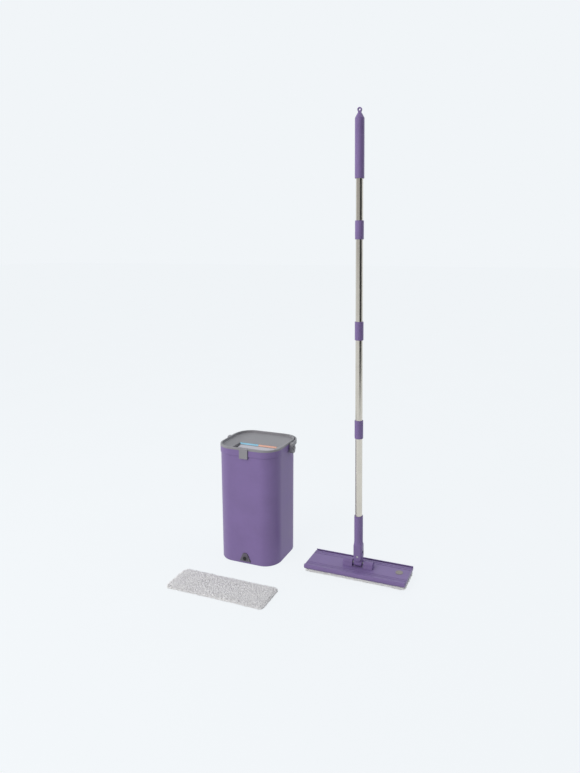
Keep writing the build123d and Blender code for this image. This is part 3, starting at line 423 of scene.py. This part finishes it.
def puff(piece, low_z, high_z):
    """Fills the slab with a cloth simulation under pressure, then caps each point's move."""
    rest = [vertex.co.copy() for vertex in piece.data.vertices]
    cloth = piece.modifiers.new("Cloth", "CLOTH")
    for key, value in CLOTH_SETTINGS.items():
        setattr(cloth.settings, key, value)
    cloth.settings.effector_weights.gravity = 0
    scene = bpy.context.scene
    for frame_number in range(1, SIM_FRAMES + 1):
        scene.frame_set(frame_number)
    evaluated = piece.evaluated_get(bpy.context.evaluated_depsgraph_get())
    moved = [vertex.co.copy() for vertex in evaluated.data.vertices]
    piece.modifiers.remove(cloth)
    scene.frame_set(1)
    for vertex, start, end in zip(piece.data.vertices, rest, moved):
        step = end - start
        if step.length > CORE_BULGE:
            step = step * (CORE_BULGE / step.length)
        vertex.co = start + step
        vertex.co.z = clamp(vertex.co.z, low_z, high_z)


def crumple(piece, low_z, high_z):
    """Adds the slow waves of a limp pad."""
    for vertex in piece.data.vertices:
        wave = sum(noise.noise(vertex.co * scale) * CRUMPLE * share for scale, share in CRUMPLE_SCALES)
        vertex.co.z = clamp(vertex.co.z + wave, low_z, high_z)


def add_tuft(vertices, faces, root, along, bend, length, radius, spin):
    """One loop of pile: a stub from root along a direction, bending over and swelling to a round tip."""
    side_a = along.orthogonal().normalized()
    side_b = along.cross(side_a)
    first = len(vertices)
    for ring, (share, width) in enumerate(TUFT_PROFILE):
        middle = root + along * (length * share) + bend * (share * share)
        for side in range(TUFT_SIDES):
            angle = spin + math.tau * side / TUFT_SIDES + TUFT_TWIST * ring
            vertices.append(middle + (side_a * math.cos(angle) + side_b * math.sin(angle)) * (radius * width))
    tip = len(vertices)
    vertices.append(root + along * (length * TIP_HEIGHT) + bend * TIP_BEND)
    for ring in range(len(TUFT_PROFILE) - 1):
        for side in range(TUFT_SIDES):
            a = first + ring * TUFT_SIDES + side
            b = first + ring * TUFT_SIDES + (side + 1) % TUFT_SIDES
            faces.append((a, b, b + TUFT_SIDES, a + TUFT_SIDES))
    last = first + (len(TUFT_PROFILE) - 1) * TUFT_SIDES
    for side in range(TUFT_SIDES):
        faces.append((last + side, last + (side + 1) % TUFT_SIDES, tip))
    faces.append(tuple(first + side for side in reversed(range(TUFT_SIDES))))


def add_face_tufts(vertices, faces, core, up, rng):
    """Rows of tufts over the core's face that up points to, leaning outwards near its edge."""
    tree = BVHTree.FromObject(core, bpy.context.evaluated_depsgraph_get())
    corners = [Vector(corner) for corner in core.bound_box]
    low = Vector(map(min, *corners))
    high = Vector(map(max, *corners))
    rows = int((high.y - low.y) / TUFT_PITCH)
    columns = int((high.x - low.x) / TUFT_PITCH)
    for row in range(rows + 1):
        for column in range(columns + 1):
            x = low.x + (column + 0.5 * (row % 2)) * TUFT_PITCH + rng.uniform(-TUFT_JITTER, TUFT_JITTER)
            y = low.y + row * TUFT_PITCH + rng.uniform(-TUFT_JITTER, TUFT_JITTER)
            hit, normal, _, _ = tree.ray_cast(Vector((x, y, up)), Vector((0, 0, -up)))
            if hit is None:
                continue
            edge_x = min(x - low.x, high.x - x)
            edge_y = min(y - low.y, high.y - y)
            edge = min(edge_x, edge_y)
            outward = Vector((0, 0, 0))
            if edge_x <= edge + TUFT_PITCH:
                outward.x = math.copysign(1, x - (low.x + high.x) / 2)
            if edge_y <= edge + TUFT_PITCH:
                outward.y = math.copysign(1, y - (low.y + high.y) / 2)
            splay = max(0.0, 1 - edge / SPLAY_WIDTH)
            along = (normal + outward * (SPLAY_LEAN * splay)).normalized()
            bend = Vector((rng.uniform(-1, 1), rng.uniform(-1, 1), 0)) * TUFT_BEND
            bend += outward * (SPLAY_BEND * splay)
            length = TUFT_LENGTH * rng.uniform(0.8, 1.15)
            radius = TUFT_RADIUS * rng.uniform(0.8, 1.15)
            spin = rng.uniform(0, math.tau)
            add_tuft(vertices, faces, hit - along * TUFT_ROOT, along, bend, length, radius, spin)


def add_edge_tufts(vertices, faces, core, rng):
    """Smaller tufts on the faces round the core's edge."""
    for polygon in core.data.polygons:
        if abs(polygon.normal.z) > SIDE_STEEP:
            continue
        corners = [core.data.vertices[index].co for index in polygon.vertices]
        for across, rise in SIDE_ROOTS:
            lower = corners[0].lerp(corners[1], across)
            upper = corners[3].lerp(corners[2], across)
            root = lower.lerp(upper, rise) - polygon.normal * TUFT_ROOT
            bend = Vector((rng.uniform(-1, 1), rng.uniform(-1, 1), rng.uniform(-1, 1))) * SIDE_BEND
            length = TUFT_LENGTH * rng.uniform(0.6, 0.9)
            radius = TUFT_RADIUS * rng.uniform(0.8, 1.1)
            spin = rng.uniform(0, math.tau)
            add_tuft(vertices, faces, root, polygon.normal, bend, length, radius, spin)


def pile_mesh(name, core, up, limit, material):
    """Pile over one face of a core and round its edge. up is +1 or -1, limit the height no loop passes."""
    rng = random.Random(PILE_SEED)
    vertices, faces = [], []
    add_face_tufts(vertices, faces, core, up, rng)
    add_edge_tufts(vertices, faces, core, rng)
    for vertex in vertices:
        if (vertex.z - limit) * up > 0:
            vertex.z = limit
        vertex.z = max(vertex.z, PILE_FLOOR)
    return add_piece(name, vertices, faces, material)


def make_pad(name, pile_node, backing_node, body, up):
    """A microfibre pad: a puffed cloth core, with pile round its edge and on the side that up points to."""
    pile_low, pile_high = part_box(pile_node)
    back_low, back_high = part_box(backing_node)
    inset = Vector((PAD_INSET, PAD_INSET, 0))
    low = Vector(map(min, pile_low, back_low)) + inset
    high = Vector(map(max, pile_high, back_high)) - inset
    if up > 0:
        low.z += SPARE_RISE
        high.z = low.z + CORE_THICK
        floor_z = low.z
        roof_z = high.z + CORE_BULGE
        limit = pile_high[2] + PILE_OVER
    else:
        high.z -= HEAD_GAP
        low.z = high.z - CORE_THICK
        floor_z = low.z - CORE_BULGE / 2
        roof_z = high.z
        limit = pile_low[2] + PILE_UNDER
    core = core_mesh(name, low, high, LOOKS["pad_cloth"])
    puff(core, floor_z, roof_z)
    crumple(core, floor_z, roof_z)
    pile = pile_mesh(name + "_pile", core, up, limit, LOOKS["pad_pile"])
    pile.parent = core
    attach(core, body)
    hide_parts(backing_node)
    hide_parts(pile_node)


make_pad("spare_pad", "spare_pile", "spare_backing", "spare_pad", 1)
make_pad("mop_pad", "pad_pile", "pad_backing", "head", -1)


# ======== Stage, light and camera ========

BACKDROP = (0.880, 0.913, 0.939)
FLOOR_HALF = 30
FLOOR_DROP = 0.3 * MM
FLOOR_GLOW = 0.93          # share of the floor's brightness that it gives off itself, so shadows stay faint
FLOOR_BOUNCE = 0.38        # the same share as it lights the objects

CARD_LOW = 0.30
CARD_HIGH = 2.1
CARD_LEFT = (0.80, -0.94)
CARD_FOLD = (1.45, -0.40)
CARD_RIGHT = (1.60, 0.25)

KEY_PLACE = (-1.1, -2.2, 1.7)
KEY_TARGET = (0.1, 0, 0.5)
KEY_WIDTH = 2.6
KEY_HEIGHT = 3.0
KEY_RADIANCE = 2.1
KEY_COLOR = (1.0, 0.985, 0.97)

NEAR_SIDE = (0.42, 0.41, 0.40)   # what the objects see of the room on the camera's side
OVERHEAD = 0.8                   # the room's strength straight up

CAMERA_PLACE = Vector((0.8997, -1.6860, 0.9697))
CAMERA_PITCH = 0.07759
CAMERA_TURN = (-0.3506, 0.9365)
CAMERA_LENS = 28.46
CAMERA_SENSOR = 36
CAMERA_SHIFT = (-0.061, -0.118)


def studio_floor():
    """A matt floor that glows, less strongly as the objects see it than as the camera does."""
    s = Shader("studio_floor")
    s.color(s.ramp(s.noise(3), (0.082, 0.084, 0.086), (0.086, 0.088, 0.090), start=0.3, end=0.7))
    s.set(Roughness=0.9, Specular_IOR_Level=0.0)
    s.base.inputs["Emission Color"].default_value = (*BACKDROP, 1)
    rays = s.add("ShaderNodeLightPath").outputs
    seen = s.math("MAXIMUM", rays["Is Camera Ray"], rays["Is Glossy Ray"])
    s.link(s.span(seen, FLOOR_BOUNCE, FLOOR_GLOW), s.base.inputs["Emission Strength"])
    return s.material


def black_felt():
    s = Shader("black_felt")
    s.color(s.ramp(s.noise(40), (0.045, 0.045, 0.046), (0.062, 0.061, 0.060), start=0.3, end=0.7))
    s.set(Roughness=1.0, Specular_IOR_Level=0.0)
    return s.material


def black_card(name, start, end, material):
    """An upright card between two plan points, hidden from the camera."""
    vertices = [(x, y, z) for x, y in (start, end) for z in (CARD_LOW, CARD_HIGH)]
    card = add_piece(name, vertices, [(0, 2, 3, 1)], material)
    card.visible_camera = False
    return card


def soft_box(name, place, target, width, height, radiance, color):
    """A large light of the stated radiance, hidden from the camera."""
    light = bpy.data.lights.new(name, "AREA")
    light.shape = "RECTANGLE"
    light.size = width
    light.size_y = height
    light.energy = radiance * math.pi * width * height
    light.color = color
    lamp = bpy.data.objects.new(name, light)
    bpy.context.scene.collection.objects.link(lamp)
    lamp.location = place
    lamp.rotation_euler = (Vector(target) - Vector(place)).to_track_quat("-Z", "Y").to_euler()
    lamp.visible_camera = False
    return lamp


def studio_world():
    """The backdrop to the camera. To the objects it is darker on the camera's side and overhead."""
    world = bpy.data.worlds.new("studio")
    world.use_nodes = True
    s = Nodes(world.node_tree)
    background = s.tree.nodes["Background"]
    split = s.add("ShaderNodeSeparateXYZ")
    s.link(s.add("ShaderNodeTexCoord").outputs["Generated"], split.inputs[0])
    camera_ray = s.add("ShaderNodeLightPath").outputs["Is Camera Ray"]
    overhead = s.span(split.outputs["Z"], 1.0, OVERHEAD, start=0.15)
    s.link(s.math("MAXIMUM", overhead, camera_ray), background.inputs["Strength"])
    depth = s.span(split.outputs["Y"], 0.0, 1.0, start=-1.0)
    seen = s.add("ShaderNodeMix", data_type="RGBA")
    s.link(camera_ray, seen.inputs[0])
    s.link(s.ramp(depth, NEAR_SIDE, BACKDROP, start=0.25, end=0.56), seen.inputs[6])
    seen.inputs[7].default_value = (*BACKDROP, 1)
    s.link(seen.outputs[2], background.inputs["Color"])
    return world


def photo_camera():
    """The camera as it was fitted to the photograph."""
    camera = bpy.data.objects.new("camera", bpy.data.cameras.new("camera"))
    bpy.context.scene.collection.objects.link(camera)
    camera.data.lens = CAMERA_LENS
    camera.data.sensor_width = CAMERA_SENSOR
    camera.data.shift_x, camera.data.shift_y = CAMERA_SHIFT
    camera.location = CAMERA_PLACE
    level = math.cos(CAMERA_PITCH)
    looking = Vector((CAMERA_TURN[0] * level, CAMERA_TURN[1] * level, -math.sin(CAMERA_PITCH)))
    camera.rotation_euler = looking.to_track_quat("-Z", "Y").to_euler()
    return camera


floor_corners = [(x * FLOOR_HALF, y * FLOOR_HALF, 0) for x, y in ((-1, -1), (1, -1), (1, 1), (-1, 1))]
floor = add_piece("floor", floor_corners, [(0, 1, 2, 3)], studio_floor())
floor.location.z = -FLOOR_DROP

# One card darkens a line on each round tube and the bucket's near corner.
# The other darkens only the tubes' right edge.
felt = black_felt()
black_card("near_card", CARD_LEFT, CARD_FOLD, felt)
side_card = black_card("side_card", CARD_FOLD, CARD_RIGHT, felt)
side_card.visible_diffuse = False
side_card.visible_shadow = False

# The key light has no mirror image, so that the steel isn't burnt out
key = soft_box("key_light", KEY_PLACE, KEY_TARGET, KEY_WIDTH, KEY_HEIGHT, KEY_RADIANCE, KEY_COLOR)
key.visible_glossy = False

bpy.context.scene.world = studio_world()
bpy.context.scene.view_settings.view_transform = "Standard"
bpy.context.scene.camera = photo_camera()
